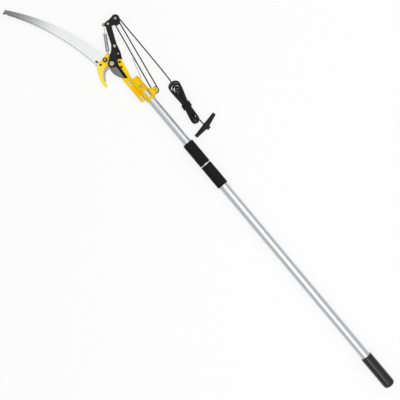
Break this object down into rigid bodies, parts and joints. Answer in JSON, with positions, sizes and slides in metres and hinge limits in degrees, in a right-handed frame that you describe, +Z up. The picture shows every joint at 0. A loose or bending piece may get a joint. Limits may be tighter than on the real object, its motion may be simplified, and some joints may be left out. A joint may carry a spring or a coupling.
{
  "type": "tree pruner pole",
  "caption": "Telescopic pole with a rope-worked bypass pruner and a curved pull saw on its head, a pulley block, return spring, and a tied hank of cord ending in a pull handle.",
  "frame": {"origin": "on the floor, under the middle of the tool without its free cord", "axes": "+X along the pole towards the head, +Y towards the saw, +Z up from the floor"},
  "size_m": [1.5804, 0.2933, 0.0354],
  "materials": {
    "yellow paint": "gloss yellow enamel",
    "charcoal paint": "satin charcoal enamel",
    "blade steel": "ground steel",
    "zinc steel": "bright zinc plate",
    "pale brass": "pale yellow zinc",
    "alloy tube": "drawn aluminium",
    "black plastic": "moulded black nylon",
    "black rubber": "moulded rubber",
    "black cord": "braided nylon cord"
  },
  "bodies": {
    "lower_pole": {"lower_tube": "alloy tube", "end_cap": "black rubber", "lock_body": "black rubber", "lock_ring": "alloy tube", "lock_collet": "black plastic"},
    "lock_collar": {"lock_collar": "black rubber"},
    "head": {"upper_tube": "alloy tube", "slide_bush": "black plastic", "tube_plug": "black plastic", "head_plate": "yellow paint", "hook_blade": "blade steel", "pole_clamp": "yellow paint", "clamp_bolt": "zinc steel", "clamp_nut": "zinc steel", "frame_rivets": "zinc steel", "arm_rivet": "zinc steel", "blade_stop": "zinc steel", "pivot_bolt": "pale brass", "pivot_nut": "zinc steel", "saw_blade": "blade steel", "saw_fixing": "zinc steel", "saw_washer": "charcoal paint", "saw_wing_nut": "zinc steel", "saw_stud": "charcoal paint", "saw_key": "charcoal paint", "guide_bracket": "yellow paint", "guide_pin": "zinc steel", "keeper_wire": "zinc steel"},
    "guide_pulley": {"guide_pulley": "black plastic"},
    "lever": {"lever_bar": "charcoal paint", "lever_rear": "charcoal paint", "cutting_blade": "blade steel", "lever_bolt": "zinc steel", "lever_spacer": "zinc steel", "lever_nut": "zinc steel", "lever_pin": "pale brass"},
    "pulley_block": {"front_cheek": "charcoal paint", "rear_cheek": "charcoal paint", "block_pin": "zinc steel", "becket_loop": "black cord"},
    "block_pulley": {"block_pulley": "black plastic"},
    "spring_lower": {"spring_coil": "zinc steel"},
    "spring_upper": {"spring_hook": "zinc steel"},
    "strands": {"outer_strand": "black cord", "guide_turn": "black cord", "inner_strand": "black cord"},
    "lead": {"block_turn": "black cord", "lead_strand": "black cord"},
    "pull": {"hank": "black cord", "hank_tie": "black cord", "tail_strand": "black cord", "pull_handle": "black plastic", "handle_knot": "black cord"}
  },
  "joints": [
    {"name": "pole_extend", "type": "slide", "parent": "lower_pole", "child": "head", "axis": [1, 0, 0], "range_m": [0, 0.6]},
    {"name": "collar_turn", "type": "hinge", "parent": "lower_pole", "child": "lock_collar", "pos_m": [0.09878, -0.04598, 0.0177], "axis": [1, 0, 0], "range_deg": [0, 120]},
    {"name": "lever_pivot", "type": "hinge", "parent": "head", "child": "lever", "pos_m": [0.46328, -0.02448, 0.0177], "axis": [0, 0, -1], "range_deg": [0, 60], "stiffness_Nm_per_rad": 1.5, "springref_deg": -20.05, "deforming": ["spring_coil", "spring_hook", "outer_strand", "guide_turn", "inner_strand", "block_turn", "lead_strand"]},
    {"name": "block_swivel", "type": "hinge", "parent": "lever", "child": "pulley_block", "pos_m": [0.5598, -0.09007, 0.02475], "axis": [0, 0, -1], "range_deg": [0, 56]},
    {"name": "block_spin", "type": "hinge", "parent": "pulley_block", "child": "block_pulley", "pos_m": [0.55782, -0.117, 0.02475], "axis": [0, 0, 1], "continuous": true},
    {"name": "guide_spin", "type": "hinge", "parent": "head", "child": "guide_pulley", "pos_m": [0.32278, -0.07348, 0.0177], "axis": [0, 0, 1], "continuous": true},
    {"name": "spring_swing", "type": "hinge", "parent": "head", "child": "spring_lower", "pos_m": [0.49168, -0.03258, 0.0177], "axis": [0, 0, -1], "range_deg": [0, 78]},
    {"name": "spring_stretch", "type": "slide", "parent": "spring_lower", "child": "spring_upper", "axis": [0.8501, -0.5266, 0], "range_m": [0, 0.03]},
    {"name": "strand_swing", "type": "hinge", "parent": "head", "child": "strands", "pos_m": [0.32278, -0.07348, 0.0177], "axis": [0, 0, -1], "range_deg": [0, 20]},
    {"name": "lead_swing", "type": "hinge", "parent": "pulley_block", "child": "lead", "pos_m": [0.55782, -0.117, 0.02475], "axis": [0, 0, -1], "range_deg": [-120, 0]},
    {"name": "cord_pull", "type": "slide", "parent": "lead", "child": "pull", "axis": [-1, 0, 0], "range_m": [0, 0.26]}
  ],
  "couplings": [
    {"joint": "block_swivel", "follows": "lever_pivot", "ratio": 0.88088},
    {"joint": "spring_swing", "follows": "lever_pivot", "ratio": 1.1774},
    {"joint": "spring_stretch", "follows": "lever_pivot", "m_per_rad": 0.022067},
    {"joint": "strand_swing", "follows": "lever_pivot", "ratio": 0.27604},
    {"joint": "lead_swing", "follows": "lever_pivot", "ratio": -1.8809},
    {"joint": "cord_pull", "follows": "lever_pivot", "m_per_rad": 0.21628}
  ]
}
